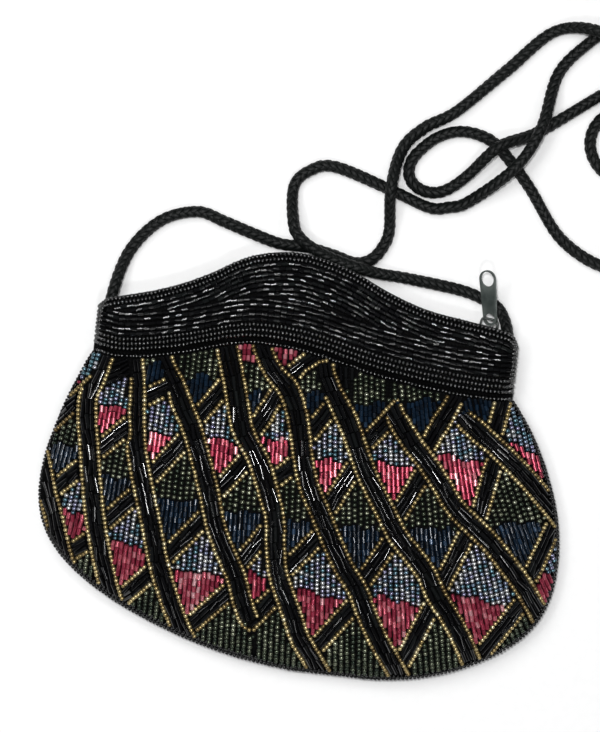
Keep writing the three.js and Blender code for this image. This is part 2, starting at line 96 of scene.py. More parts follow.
# The long bands of the lattice, from the top of the pouch to its seam
long_bands = {
    "Z": [(-114, 14), (-110.5, 1), (-107.9, -7), (-104.6, -15.3), (-101.9, -23.8), (-98.8, -31.2),
          (-95.8, -39.4), (-93.2, -47.7), (-90.4, -54.4), (-86, -66)],
    "A": [(-83, 40), (-85.1, 31.5), (-87.2, 23.3), (-89.2, 17.9), (-89.2, 10.1), (-86.9, -2),
          (-83.7, -18.2), (-81, -31), (-77.3, -44.5), (-73.7, -56.3), (-70.1, -65.9), (-66, -76)],
    "B": [(-73.7, 40), (-73, 32.8), (-71.1, 23.4), (-69.5, 9.7), (-67.1, -3.2), (-63, -16.7), (-58.3, -31),
          (-54, -45.4), (-49.1, -57.9), (-43.3, -70.3), (-38.5, -78.8), (-35, -86)],
    "C": [(-64, 41), (-61.6, 35.8), (-57.1, 27.6), (-51.6, 17.8), (-46.1, 7.9), (-41.3, -3.7),
          (-36.3, -17.1), (-32.9, -28.1), (-27.7, -38.9), (-22.2, -48.7), (-18.5, -58.8), (-15.2, -65.5)],
    "D": [(-38, 48), (-35.9, 40.5), (-31.9, 28.8), (-29, 18.6), (-26.3, 10.2), (-21, 2.1), (-16.6, -6.1),
          (-11.9, -17), (-9.6, -24.8), (-8.3, -34.7), (-6.6, -44.1), (-3.6, -51), (0.9, -60.1),
          (5.4, -70.1), (11.2, -78.2), (18, -88)],
    "E": [(-24.5, 49), (-21.2, 41.4), (-16.8, 34.8), (-9.7, 27.6), (-5.8, 19.2), (-3.3, 10.2), (-1.3, 1.6),
          (2.3, -9.1), (8.4, -20.1), (13.4, -29.3), (19.4, -39.3), (26.2, -48.3), (30.7, -57.2),
          (36.2, -66.6), (41.9, -74.7), (51, -88)],
    "F": [(3, 40.2), (4.2, 36), (6.6, 31.2), (10, 25.9), (16, 15.8), (21.2, 4.7), (26.1, -4.5),
          (33.2, -15.3), (39.1, -24.4), (46.8, -32.3), (52.4, -38.5), (57.2, -46.7), (63, -53.8),
          (68.7, -61.9), (77, -76), (82, -84)],
    "G": [(31.6, 26.2), (33.9, 21.7), (40.7, 12.8), (47.4, 5.8), (54.1, -2.2), (61, -11.2), (69.6, -18),
          (77.1, -24), (84.8, -31.9), (91.4, -38.9), (98.3, -47.8), (107, -60)],
    "H": [(59.3, 25.4), (63.2, 22.5), (68.3, 18.9), (78.9, 11.3), (88.5, 3.6), (96.1, -3.3), (102.7, -9.4),
          (110, -17)],
}
# Where a long band starts or stops inside the pouch, the line that its neighbours' fillings meet on
bare_ends = {
    "C": ("end", (-9, -90)), "F": ("start", (1.5, 47)), "G": ("start", (26, 50)), "H": ("start", (61.5, 42)),
}
# Gold lines that close an end of a long band: the tops of F and G, and the foot of C
gold_joins = [
    [(-6.3, 32.8), (-4.6, 35.9), (-1.7, 38.5), (1, 40.3), (3.2, 41.3), (5.2, 41.4)],
    [(29.2, 24), (31.2, 26.6), (33.1, 28.8), (34.6, 28.6)],
    [(-18.6, -67), (-16.6, -68.7), (-14, -69.7)],
]
# Sides of long bands that are one row of bugles slimmer, and sides that have no gold edge, above a height
slim_sides = {("A", -1): 20, ("B", -1): 1, ("C", -1): 22.5, ("G", -1): 24}
bare_sides = {("A", -1): 20, ("B", -1): 26, ("C", -1): 22.5, ("F", -1): 27.5, ("G", -1): 22.5, ("H", -1): 22}
# How far above its first cross band a column's first change of bead is, where not half a cell
first_changes = {"Z": 19}

# The columns between long bands: their short cross bands from the top down, lower left end first, with the
# edges that have gold beads where not both have them, and the fillings above, between and below them
columns = [
    ("Z", "A", [((-102.5, 5.1), (-92.8, 15.8)), ((-98.2, -21.6), (-90.4, -13.7)),
                ((-90, -47.7), (-83.3, -41.7))],
     ["red", "green", "red", "green"]),
    ("A", "B", [((-84.2, 24.7), (-74, 31.5), ()), ((-82.3, -4.4), (-72.1, 6.3)),
                ((-76.8, -33.1), (-65.6, -20.5)), ((-66.1, -62), (-56.1, -50.6))],
     ["pleat", "red", "green", "red", "green"]),
    ("B", "C", [((-67.2, 17.8), (-58, 23.6)), ((-60, -12), (-49.8, 2.1)), ((-48.8, -41.1), (-38.2, -27.4)),
                ((-36.6, -68.2), (-25.5, -55.6))],
     ["green", "red", "green", "red", "green"]),
    ("C", "D", [((-43.5, 14.3), (-35.5, 26.2)), ((-32.6, -14.5), (-24, -2.6)), ((-20, -41), (-11.5, -27.9)),
                ((-15.7, -67.2), (-8.2, -56.7))],
     ["green", "red", "green", "red", "green"]),
    ("D", "E", [((-21.5, 10.7), (-15.2, 23.7)), ((-10.4, -7.2), (-4.5, -1.3)), ((-4.3, -44.9), (7.6, -29.5)),
                ((12.5, -72.7), (23.8, -56.3))],
     ["green", "red", "green", "red", "green"]),
    ("E", "F", [((-9.3, 35), (-0.2, 43.2), (-1,)), ((2, 14.4), (7.2, 22.3)), ((10.9, -17.4), (17.7, -2.7)),
                ((28.6, -43.1), (35.8, -29.2)), ((48.1, -73.1), (55.5, -52.7))],
     ["red", "green", "red", "green", "red", "green"]),
    ("F", "G", [((23.8, 11.8), (31.9, 22)), ((39.2, -15.2), (46.9, 1.8)), ((59.1, -41.6), (65.8, -23.3)),
                ((79.6, -67.1), (89, -51.4))],
     ["green", "red", "green", "red", "green"]),
    ("G", "H", [((48.7, 15.2), (55, 29)), ((71, -11.5), (74.4, 7.8)), ((94, -36.2), (100.3, -18.4))],
     ["green", "red", "green", "red"]),
    ("H", None, [((73.5, 20.4), (75.3, 30.4))], ["green", "red"]),
    (None, "Z", [], ["red"]),
]

# How the threads of the fillings fan out: their lean from straight down, in degrees, at places along X
fan_rows = np.array([
    (-100, -8), (-75, -3.5), (-40, 0.5), (0, 4.5), (33, 7.5), (55, 12), (75, 19.5), (92, 31),
])

# Bugles of another colour at the top of a column, above a line
top_patches = {"D": ("red", [(-36, 37.5), (-22, 36.8)]), "F": ("jet", [(12.5, 29.6), (16.4, 38.3)])}

# The sharp middle of each gather: where it leaves the band, where it ends, how deep and wide it is
crease_rows = [
    ((-77, 38), (-69, 6), 2.2, 2.4),
    ((-55, 40), (-52, 12), 1.6, 2.4),
    ((-36, 46), (-25, 4), 1.9, 2.6),
    ((-19, 20), (-9, -66), 2.6, 2.8),
    ((-14, 46), (-3, 4), 1.5, 2.6),
    ((11, 44), (17, 18), 2.5, 2.8),
    ((33, 39), (40, 12), 1.5, 2.6),
    ((48, 37), (54, 14), 1.5, 2.6),
    ((63, 36), (70, 8), 2.0, 2.6),
]

# Beads in millimetres: radius, length along the thread and the space to the next one
bead_sizes = {
    "gold": (0.98, 1.68, 0.1),
    "lilac": (1.0, 1.5, 0.14),
    "olive": (1.06, 1.68, 0.3),
    "black": (0.92, 1.45, 0.14),
    "jet": (0.95, 6.0, 0.3),
    "jet_cross": (0.85, 5.6, 0.3),
    "jet_band": (0.88, 2.25, 0.25),
    "red": (0.86, 2.4, 0.16),
    "navy": (0.84, 2.2, 0.16),
}

# The lattice in millimetres: rows of bugles, gold edges beside a band's middle, and the end before the seam
LONG_PITCH = 1.92
LONG_EDGE = 3.72
SLIM_EDGE = 1.9
LONG_END = 2.2
CROSS_PITCH = 1.66
CROSS_EDGE = 3.3

# The fillings: spaces between threads, the slope of the change to red, and clear ground beside bands
BUGLE_PITCH = 1.82
LILAC_PITCH = 2.14
OLIVE_PITCH = 2.36
RED_SLANT = 0.28
FILL_CLEAR = 0.95

# The middle of the scrap at the left seam, straight down as the camera sees it, and the length of a cell
LEFT_SCRAP = np.array([-104, -24.0])
LEVEL_DOWN = np.array([0.1132, -0.9936])
CELL_LONG = 30.0

# How far the cloth is below the solid's face, and how much a bead leans on its thread
BEAD_DEPTH = 1.75
BEAD_LEAN = 0.085


def curve_spans(rows, steps):
    """Points on a smooth curve through rows, in one array for each span between two rows."""
    ends = np.vstack([2 * rows[0] - rows[1], rows, 2 * rows[-1] - rows[-2]])
    share = np.linspace(0, 1, steps, endpoint=False)[:, None]
    cube, square = share ** 3, share ** 2
    spans = []
    for before, start, stop, after in zip(ends, ends[1:], ends[2:], ends[3:]):
        lead, trail = (stop - before) / 2, (after - start) / 2
        spans.append((2 * cube - 3 * square + 1) * start + (cube - 2 * square + share) * lead
                     + (3 * square - 2 * cube) * stop + (cube - square) * trail)
    return spans


def smooth_line(rows, step=0.5):
    """Points at an even step on a smooth line through the rows of a table."""
    rows = np.asarray(rows, float)
    return even_line(np.vstack(curve_spans(rows, 24) + [rows[-1:]]), step)


def along(line):
    """Distance along a line at each of its points."""
    return np.concatenate([[0], np.cumsum(np.linalg.norm(np.diff(line, axis=0), axis=1))])


def even_line(line, step):
    way = along(line)
    places = np.linspace(0, way[-1], max(2, int(round(way[-1] / step)) + 1))
    return np.stack([np.interp(places, way, line[:, k]) for k in range(line.shape[1])], axis=1)


def directions(line):
    turns = np.gradient(line, axis=0)
    return turns / np.maximum(np.linalg.norm(turns, axis=1, keepdims=True), 1e-9)


def beside(line, distance):
    """A flat line at a distance to the right of another that runs downwards."""
    way = directions(line)
    return line + distance * np.stack([-way[:, 1], way[:, 0]], axis=1)


def side_of(places, line):
    """Signed distance of places from a flat line, positive to the right of one that runs downwards."""
    starts, spans = line[:-1], np.diff(line, axis=0)
    lengths = np.maximum((spans ** 2).sum(1), 1e-9)
    apart = places[:, None, :] - starts[None]
    share = np.clip((apart * spans[None]).sum(2) / lengths, 0, 1)
    gap = apart - share[..., None] * spans[None]
    reach = np.linalg.norm(gap, axis=2)
    near = reach.argmin(1)
    row = np.arange(len(places))
    turn = spans[near, 0] * apart[row, near, 1] - spans[near, 1] * apart[row, near, 0]
    return np.where(turn > 0, 1, -1) * reach[row, near], near


def band_edges(x):
    """The band's upper and lower edges at places along it."""
    line = band_line
    return np.interp(x, line[:, 0], line[:, 1]), np.interp(x, line[:, 0], line[:, 2])


band_line = smooth_line(band_rows, 0.5)


def unit(vectors):
    return vectors / np.maximum(np.linalg.norm(vectors, axis=-1, keepdims=True), 1e-9)


# Finishes

class Wire:
    """A socket of a finish that takes part in sums."""

    def __init__(self, finish, socket):
        self.finish = finish
        self.socket = socket

    def sum(self, operation, first, second):
        return self.finish.node("Math", {"operation": operation}, {0: first, 1: second})

    def __add__(self, other):
        return self.sum("ADD", self, other)

    def __sub__(self, other):
        return self.sum("SUBTRACT", self, other)

    def __rsub__(self, other):
        return self.sum("SUBTRACT", other, self)

    def __mul__(self, other):
        return self.sum("MULTIPLY", self, other)

    __radd__ = __add__
    __rmul__ = __mul__

    def pick(self, name):
        return Wire(self.finish, self.socket.node.outputs[name])


class Finish:
    """A procedural material or the studio's air, made node by node."""

    def __init__(self, name, store=bpy.data.materials):
        self.material = store.new(name)
        self.material.use_nodes = True
        self.tree = self.material.node_tree
        self.tree.nodes.clear()

    def node(self, kind, settings=None, sockets=None):
        node = self.tree.nodes.new("ShaderNode" + kind)
        for name, value in (settings or {}).items():
            if name == "stops":
                while len(node.color_ramp.elements) < len(value):
                    node.color_ramp.elements.new(0.5)
                for element, (place, colour) in zip(node.color_ramp.elements, value):
                    element.position = place
                    element.color = (*colour, 1)
            else:
                setattr(node, name, value)
        for name, value in (sockets or {}).items():
            if isinstance(value, Wire):
                self.tree.links.new(value.socket, node.inputs[name])
            else:
                node.inputs[name].default_value = value
        return Wire(self, node.outputs[0]) if node.outputs else None

    def places(self):
        return self.node("TexCoord").pick("Object")

    def ramp(self, amount, stops):
        return self.node("ValToRGB", {"stops": stops}, {"Fac": amount})

    def noise(self, scale, detail=2.0, where=None):
        settings = {"Vector": where or self.places(), "Scale": scale, "Detail": detail}
        return self.node("TexNoise", {}, settings)

    def bump(self, height, distance, strength=1.0):
        return self.node("Bump", {}, {"Height": height, "Distance": distance, "Strength": strength})

    def close(self, sockets):
        surface = self.node("BsdfPrincipled", {}, sockets)
        self.node("OutputMaterial", {}, {"Surface": surface})
        return self.material


def glass_finish(name, stops, rough, metallic=0.0, ior=1.55, lump=0.00002):
    """Glass beads: each bead takes its colour from its own tint, darkened by a painted shade where the bead
    faces away from straight up, and its skin is a little uneven.
    """
    finish = Finish(name)
    tint = finish.node("Attribute", {"attribute_name": "tint"}).pick("Fac")
    uneven = finish.noise(700.0)
    return finish.close({
        "Base Color": finish.ramp(tint, stops),
        "Roughness": uneven * 0.1 + rough,
        "Metallic": metallic,
        "IOR": ior,
        "Normal": finish.bump(finish.noise(1500.0), lump),
    })


def cloth_finish(name, dark, light, threads=1400.0):
    """Plain woven black cloth."""
    finish = Finish(name)
    where = finish.places()
    warp = finish.node("TexWave", {"bands_direction": "X"}, {"Vector": where, "Scale": threads / 6.3})
    weft = finish.node("TexWave", {"bands_direction": "Y"}, {"Vector": where, "Scale": threads / 6.3})
    weave = warp.pick("Fac") * weft.pick("Fac")
    worn = finish.noise(60.0, 4.0, where)
    return finish.close({
        "Base Color": finish.ramp(weave * 0.6 + worn * 0.4, [(0.2, dark), (0.8, light)]),
        "Roughness": worn * 0.15 + 0.75,
        "Specular IOR Level": 0.08,
        "Normal": finish.bump(weave, 0.00012),
    })


def braid_finish():
    """Twisted black yarn with a soft green-grey sheen."""
    finish = Finish("black_braid")
    where = finish.places()
    yarn = finish.noise(2600.0, 3.0, where)
    worn = finish.noise(90.0, 3.0, where)
    return finish.close({
        "Base Color": finish.ramp(yarn * 0.5 + worn * 0.5, [(0.25, (0.001, 0.0014, 0.0014)),
                                                            (0.75, (0.0048, 0.006, 0.0056))]),
        "Roughness": yarn * 0.2 + 0.4,
        "Specular IOR Level": 0.25,
        "Normal": finish.bump(yarn, 0.00012),
    })


def coil_finish():
    finish = Finish("black_nylon")
    scuff = finish.noise(500.0)
    return finish.close({
        "Base Color": finish.ramp(scuff, [(0.3, (0.006, 0.006, 0.007)), (0.7, (0.016, 0.016, 0.018))]),
        "Roughness": scuff * 0.15 + 0.28,
    })


def metal_finish(name, shade):
    """Dark plated metal with fine brushing and rubbed patches."""
    finish = Finish(name)
    where = finish.places()
    drawn_out = finish.node("Mapping", {}, {"Vector": where, "Scale": (6.0, 0.5, 6.0)})
    brushed = finish.noise(900.0, 3.0, drawn_out)
    rubbed = finish.noise(160.0, 4.0, where)
    return finish.close({
        "Base Color": finish.ramp(rubbed, [(0.3, (0.055 * shade, 0.068 * shade, 0.064 * shade)),
                                           (0.8, (0.15 * shade, 0.17 * shade, 0.16 * shade))]),
        "Roughness": brushed * 0.2 + 0.26,
        "Metallic": 0.45,
        "Normal": finish.bump(brushed, 0.00003),
    })


# Glass beads: the stops of their colours by tint, which also carries the painted slope shade
gold_stops = [(0.0, (0.15, 0.1, 0.04)), (0.35, (0.36, 0.27, 0.115)), (0.75, (0.64, 0.52, 0.26)),
              (1.0, (0.95, 0.86, 0.57))]
lilac_stops = [(0.0, (0.06, 0.1, 0.14)), (0.25, (0.15, 0.28, 0.33)), (0.42, (0.31, 0.3, 0.46)),
               (0.65, (0.56, 0.58, 0.6)), (1.0, (0.97, 0.97, 0.95))]
olive_stops = [(0.0, (0.022, 0.034, 0.026)), (0.45, (0.095, 0.112, 0.078)), (0.8, (0.26, 0.28, 0.2)),
               (1.0, (0.52, 0.55, 0.43))]
red_stops = [(0.0, (0.17, 0.012, 0.03)), (0.4, (0.41, 0.042, 0.085)), (0.75, (0.66, 0.17, 0.22)),
             (1.0, (0.95, 0.58, 0.61))]
navy_stops = [(0.0, (0.0012, 0.003, 0.006)), (0.5, (0.0025, 0.008, 0.017)), (0.85, (0.005, 0.016, 0.034)),
              (1.0, (0.03, 0.06, 0.11))]
black_stops = [(0.0, (0.001, 0.001, 0.0012)), (0.6, (0.002, 0.002, 0.0025)), (1.0, (0.005, 0.006, 0.006))]
BUGLE_LUMP = 0.000006
finishes = {
    "gold": glass_finish("gold_lustre", gold_stops, rough=0.24, metallic=0.78),
    "lilac": glass_finish("lilac_lustre", lilac_stops, rough=0.26, metallic=0.88),
    "olive": glass_finish("olive_glass", olive_stops, rough=0.23, metallic=0.88),
    "red": glass_finish("red_glass", red_stops, rough=0.26, metallic=0.7, ior=1.8),
    "navy": glass_finish("navy_glass", navy_stops, rough=0.17, metallic=0.2, ior=1.56),
    "black": glass_finish("black_glass_seed", black_stops, rough=0.18, ior=2.0),
    "rim": glass_finish("black_rim_seed", black_stops, rough=0.2, ior=1.4),
    "jet": glass_finish("black_glass_bugle", black_stops, rough=0.05, ior=1.47, lump=BUGLE_LUMP),
    "band_jet": glass_finish("black_band_bugle", black_stops, rough=0.06, ior=1.4, lump=BUGLE_LUMP),
    "cloth": cloth_finish("black_ground_cloth", (0.0006, 0.0006, 0.0006), (0.0025, 0.0025, 0.003)),
    "tape": cloth_finish("black_zip_tape", (0.003, 0.003, 0.003), (0.014, 0.014, 0.015), 1100.0),
    "braid": braid_finish(),
    "coil": coil_finish(),
    "metal": metal_finish("dark_gunmetal", 1.0),
    "slider": metal_finish("black_gunmetal", 0.3),
}


# Shared making

def piece(name, mesh, finish, body="bag", smooth=True):
    """A finished piece of the object that rides on a body."""
    made = bpy.data.objects.new(name, mesh)
    bpy.context.scene.collection.objects.link(made)
    mesh.materials.clear()
    mesh.materials.append(finishes[finish])
    mesh.polygons.foreach_set("use_smooth", [smooth] * len(mesh.polygons))
    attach(made, body)
    return made


def mesh_of(shape, name):
    mesh = bpy.data.meshes.new(name)
    shape.to_mesh(mesh)
    shape.free()
    return mesh


def turned(profile, sides):
    """A drilled bead from its profile, as arrays of corners and faces."""
    shape = bmesh.new()
    corners = [shape.verts.new((radius, 0, height)) for radius, height in profile]
    edges = [shape.edges.new((start, stop)) for start, stop in zip(corners, corners[1:] + corners[:1])]
    bmesh.ops.spin(shape, geom=corners + edges, cent=(0, 0, 0), axis=(0, 0, 1), angle=2 * math.pi,
                   steps=sides, use_merge=True)
    bmesh.ops.remove_doubles(shape, verts=shape.verts, dist=1e-5)
    bmesh.ops.recalc_face_normals(shape, faces=shape.faces)
    shape.verts.index_update()
    result = (np.array([vert.co for vert in shape.verts]),
              np.array([[vert.index for vert in face.verts] for face in shape.faces]))
    shape.free()
    return result


seed_bead = turned([(0.38, -0.94), (0.76, -0.72), (1.0, 0.0), (0.76, 0.72), (0.38, 0.94)], 7)
plain_seed = turned([(0.42, -0.9), (1.0, 0.0), (0.42, 0.9)], 6)
bugle_bead = turned([(0.5, -1.0), (0.97, -0.985), (0.97, 0.985), (0.5, 1.0)], 8)


class Strings:
    """Beads of one sort, laid on threads and joined into one mesh."""

    def __init__(self, sort, shape, size=None):
        self.shape = shape
        self.radius, self.long, self.space = bead_sizes[size or sort]
        self.rows = []

    def lay(self, line, normals, jitter=1.0, least=0.55):
        """Beads at even steps on a thread that lies on a surface; their outer sides touch the surface."""
        way = along(line)
        pitch = self.long + self.space
        if way[-1] < least * pitch:
            return
        count = max(1, int(round(way[-1] / pitch)))
        step = way[-1] / count
        long = min(step - 0.5 * self.space, 1.25 * self.long)

        def at(rows, share):
            """Rows along the thread at a share of each bead's length."""
            spots = (np.arange(count) + share) * step
            return np.stack([np.interp(spots, way, column) for column in rows.T], axis=1)

        ends = [at(line, share) for share in (0.5 - 0.46, 0.5, 0.5 + 0.46)]
        up = unit(at(normals, 0.5))
        axis = unit(ends[2] - ends[0] + 1e-6)
        radius = self.radius * (1 + 0.05 * jitter * draw.standard_normal(count).clip(-2, 2))
        middle = (ends[0] + ends[1] + ends[2]) / 3 - up * radius[:, None]
        astray = 0.07 * jitter * unit(np.cross(axis, up)) * draw.standard_normal((count, 1)).clip(-2, 2)
        middle = middle + astray
        axis = unit(axis + BEAD_LEAN * jitter * draw.standard_normal((count, 3)).clip(-2, 2))
        half = long / 2 * (1 - 0.04 * jitter * draw.random(count))
        tints = 0.7 * draw.random(count) + 0.3 * draw.random()
        # Painted shade: a bead's random tint is darkened the more its surface turns away from straight up, so
        # beads on steep slopes and in folds come out darker.
        shade = np.clip(1.6 * np.abs(up[:, 2]) - 0.45, 0.15, 1)
        self.rows.append((middle, axis, up, radius, half, tints * shade))

    def make(self, name, finish, slot, crisp=False):
        middle, axis, up, radius, half, tints = (np.concatenate(column) for column in zip(*self.rows))
        corners, faces = self.shape
        count = len(middle)
        side = unit(np.cross(axis, up))
        top = np.cross(side, axis)
        roll = draw.random(count) * 2 * math.pi
        first = np.cos(roll)[:, None] * side + np.sin(roll)[:, None] * top
        second = np.cross(axis, first)
        spots = (middle[:, None]
                 + corners[None, :, :1] * (radius[:, None] * first)[:, None]
                 + corners[None, :, 1:2] * (radius[:, None] * second)[:, None]
                 + corners[None, :, 2:] * (half[:, None] * axis)[:, None])
        joined = (faces[None] + (np.arange(count) * len(corners))[:, None, None]).reshape(-1, faces.shape[1])
        mesh = bpy.data.meshes.new(name)
        mesh.from_pydata((spots.reshape(-1, 3) * MM).tolist(), [], joined.tolist())
        # The tint attribute holds each bead's random tone times the painted slope shade.
        tint = mesh.attributes.new("tint", "FLOAT", "POINT")
        tint.data.foreach_set("value", np.repeat(tints, len(corners)))
        made = piece(name, mesh, finish)
        if crisp:
            mesh.set_sharp_from_angle(angle=math.radians(55))
        return made


def runs(mask):
    """First and last places of each stretch where a mask holds."""
    edges = np.flatnonzero(np.diff(np.concatenate([[0], mask.astype(int), [0]])))
    return [(start, stop) for start, stop in zip(edges[::2], edges[1::2]) if stop - start > 1]


# The camera, straight above, and the studio

CAMERA_UP = 1.6
PICTURE_TALL = 0.2928
PICTURE_TURN = 6.5
PICTURE_MIDDLE = (-6.6, 37.6, 7.0)


def studio_camera():
    lens = bpy.data.cameras.new("studio_camera")
    lens.sensor_width = 36
    lens.lens = 36 * CAMERA_UP / PICTURE_TALL
    camera = bpy.data.objects.new("studio_camera", lens)
    camera.location = Vector(PICTURE_MIDDLE) * MM + Vector((0, 0, CAMERA_UP))
    camera.rotation_euler = (0, 0, math.radians(PICTURE_TURN))
    bpy.context.scene.collection.objects.link(camera)
    bpy.context.scene.camera = camera


def soft_light(name, place, size, power, in_glass=True):
    """A square lamp that faces the bag; a broad one is left out of the small reflections in the beads."""
    lamp = bpy.data.lights.new(name, "AREA")
    lamp.shape = "SQUARE"
    lamp.size = size
    lamp.energy = power
    light = bpy.data.objects.new(name, lamp)
    light.location = place
    light.visible_glossy = in_glass
    light.rotation_euler = (-Vector(place)).to_track_quat("-Z", "Y").to_euler()
    bpy.context.scene.collection.objects.link(light)


def studio():
    shape = bmesh.new()
    bmesh.ops.create_grid(shape, x_segments=1, y_segments=1, size=3)
    floor = bpy.data.objects.new("pale_floor", mesh_of(shape, "pale_floor"))
    floor.location = (0, 0, -0.0001)
    bpy.context.scene.collection.objects.link(floor)
    paint = Finish("pale_floor")
    fleck = paint.noise(300.0)
    floor.data.materials.append(paint.close({
        "Base Color": paint.ramp(fleck, [(0.0, (0.76, 0.76, 0.76)), (1.0, (0.8, 0.8, 0.8))]),
        "Roughness": 0.7,
    }))
    soft_light("overhead_lamp", (-0.12, 0.2, 1.9), 0.14, 20)
    soft_light("low_lamp", (0.12, -0.62, 1.7), 0.16, 5)
    soft_light("front_lamp", (0.15, -1.5, 0.95), 0.2, 1.5)
    soft_light("left_lamp", (-0.8, 0.05, 1.5), 0.16, 2)
    soft_light("right_lamp", (0.8, 0.3, 1.5), 0.16, 2)
    soft_light("key_light", (-0.5, 0.62, 1.45), 1.1, 15, False)
    air = Finish("studio_air", bpy.data.worlds)
    glow = air.node("Background", {}, {"Color": (0.95, 0.97, 1.0, 1), "Strength": 0.07})
    air.node("OutputWorld", {}, {"Surface": glow})
    bpy.context.scene.world = air.material
    bpy.context.scene.view_settings.view_transform = "Standard"


# The strap: a round braid of flat strands over a core

STRAP_STEPS = 40
STRANDS = 4
CORE_RADIUS = 1.62
BRAID_LEAD = 12.4
BRAID_TWIST = 210.0
STRAND_HALF = (1.1, 0.42)
BRAID_WAVE = 0.34


def strap_line():
    """The strap's centre line, as in the part's source: smooth in plan, with a height that eases over."""
    share = np.linspace(0, 1, STRAP_STEPS, endpoint=False)[:, None]
    ease = 3 * share ** 2 - 2 * share ** 3
    heights = strap_rows[:, 2]
    spans = [np.hstack([flat, low + ease * (high - low)])
             for flat, low, high in zip(curve_spans(strap_rows[:, :2], STRAP_STEPS), heights, heights[1:])]
    return np.vstack(spans + [strap_rows[-1:]])


def carried_frames(line):
    """Two directions across a line that turn as little as possible along it."""
    way = directions(line)
    first = np.zeros_like(line)
    first[0] = unit(np.cross(way[0], (0.3, 0.2, 1.0)))
    for row in range(1, len(line)):
        first[row] = unit(first[row - 1] - way[row] * (first[row - 1] @ way[row]))
    return first, np.cross(way, first)


def swept(middle, first, second, section):
    """Corners and faces of a closed section drawn along a line."""
    rings = middle[:, None] + section[None, :, :1] * first[:, None] + section[None, :, 1:] * second[:, None]
    count, sides = rings.shape[:2]
    here = (np.arange(count - 1)[:, None] * sides + np.arange(sides)[None])
    there = (np.arange(count - 1)[:, None] * sides + (np.arange(sides) + 1)[None] % sides)
    faces = np.stack([here, there, there + sides, here + sides], axis=-1).reshape(-1, 4).tolist()
    faces.append(list(range(sides))[::-1])
    faces.append([(count - 1) * sides + k for k in range(sides)])
    return rings.reshape(-1, 3), faces


def braided_strap():
    line = even_line(strap_line(), 0.85)
    first, second = carried_frames(line)
    place = along(line)
    corners, faces = [], []

    def add(rings, sides):
        base = sum(len(part) for part in corners)
        corners.append(rings)
        faces.extend([corner + base for corner in face] for face in sides)

    turns = np.linspace(0, 2 * math.pi, 8, endpoint=False)
    ring = np.stack([np.cos(turns), np.sin(turns)], axis=1)
    add(*swept(line[::3], first[::3], second[::3], ring * CORE_RADIUS))
    middle_radius = CORD_THICK / 2 - STRAND_HALF[1] - BRAID_WAVE
    section = ring * STRAND_HALF
    for hand in (1, -1):
        for strand in range(STRANDS):
            turn = 2 * math.pi * (strand / STRANDS + hand * place / BRAID_LEAD)
            radius = middle_radius + hand * BRAID_WAVE * np.cos(2 * turn - math.pi / 4)
            turn = turn + 2 * math.pi * place / BRAID_TWIST
            out = np.cos(turn)[:, None] * first + np.sin(turn)[:, None] * second
            thread = line + radius[:, None] * out
            across = unit(np.cross(directions(thread), out))
            add(*swept(thread, across, out, section))
    mesh = bpy.data.meshes.new("strap_braid")
    mesh.from_pydata((np.vstack(corners) * MM).tolist(), [], faces)
    shape = bmesh.new()
    shape.from_mesh(mesh)
    bmesh.ops.recalc_face_normals(shape, faces=shape.faces)
    shape.to_mesh(mesh)
    shape.free()
    strap = piece("strap_braid", mesh, "braid")
    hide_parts("strap_cord")
    route = even_line(strap_line(), 4.0) * MM


# The pouch: cloth panels under the beadwork

POUCH_MIDDLE = (5, -10)
PANEL_SHARP = math.radians(60)


def creased(places):
    """How far the sharp middles of the gathers pull places on the front down."""
    depth = np.zeros(len(places))
    for start, stop, deep, wide in crease_rows:
        start, stop = np.array(start), np.array(stop)
        run = stop - start
        share = ((places[:, :2] - start) @ run) / (run @ run)
        middle = start + np.clip(share, 0, 1)[:, None] * run
        fade = np.clip(1 - share, 0, 1) ** 0.5 * np.clip(0.55 + share * 3, 0, 1) * (share < 1)
        depth += deep * fade * np.exp(-(np.linalg.norm(places[:, :2] - middle, axis=1) / wide) ** 2)
    return depth


def outside_faces(shape, side):
    """The faces that are reached from a CAD panel's outermost one without crossing a sharp edge."""
    waiting = [max(shape.faces, key=lambda face: face.calc_center_median().z * side)]
    found = set(waiting)
    while waiting:
        for edge in waiting.pop().edges:
            if edge.is_manifold and edge.calc_face_angle() < PANEL_SHARP:
                beyond = [face for face in edge.link_faces if face not in found]
                found.update(beyond)
                waiting.extend(beyond)
    return found


def outer_face(node, side, levels):
    """The outer face of a CAD panel as smooth quads, with its gathers sharpened."""
    shape = bmesh.new()
    shape.from_mesh(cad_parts[node].data)
    bmesh.ops.remove_doubles(shape, verts=shape.verts, dist=1e-6)
    shape.normal_update()
    outside = outside_faces(shape, side)
    bmesh.ops.delete(shape, geom=[face for face in shape.faces if face not in outside], context="FACES")
    bmesh.ops.join_triangles(shape, faces=shape.faces, angle_face_threshold=math.pi,
                             angle_shape_threshold=math.pi)
    rough = bpy.data.objects.new(node + "_face", mesh_of(shape, node + "_face"))
    bpy.context.scene.collection.objects.link(rough)
    finer = rough.modifiers.new("finer", "SUBSURF")
    finer.levels = finer.render_levels = levels
    finer.boundary_smooth = "PRESERVE_CORNERS"
    mesh = bpy.data.meshes.new_from_object(rough.evaluated_get(bpy.context.evaluated_depsgraph_get()))
    bpy.data.objects.remove(rough)
    if node == "pouch_front":
        places = np.empty(len(mesh.vertices) * 3)
        mesh.vertices.foreach_get("co", places)
        places = places.reshape(-1, 3)
        places[:, 2] -= creased(places / MM) * MM
        mesh.vertices.foreach_set("co", places.ravel())
        mesh.update()
    return mesh


def ground_cloth(name, node, side):
    """The cloth that carries the beads, one bead's depth under the CAD panel's outer face."""
    mesh = outer_face(node, side, 1)
    shape = bmesh.new()
    shape.from_mesh(mesh)
    shape.normal_update()
    for vert in shape.verts:
        vert.co -= vert.normal * BEAD_DEPTH * MM
    shape.to_mesh(mesh)
    shape.free()
    cloth = piece(name, mesh, "cloth")
    wall = cloth.modifiers.new("wall", "SOLIDIFY")
    wall.thickness = 0.7 * MM
    wall.offset = -1
    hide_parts(node)


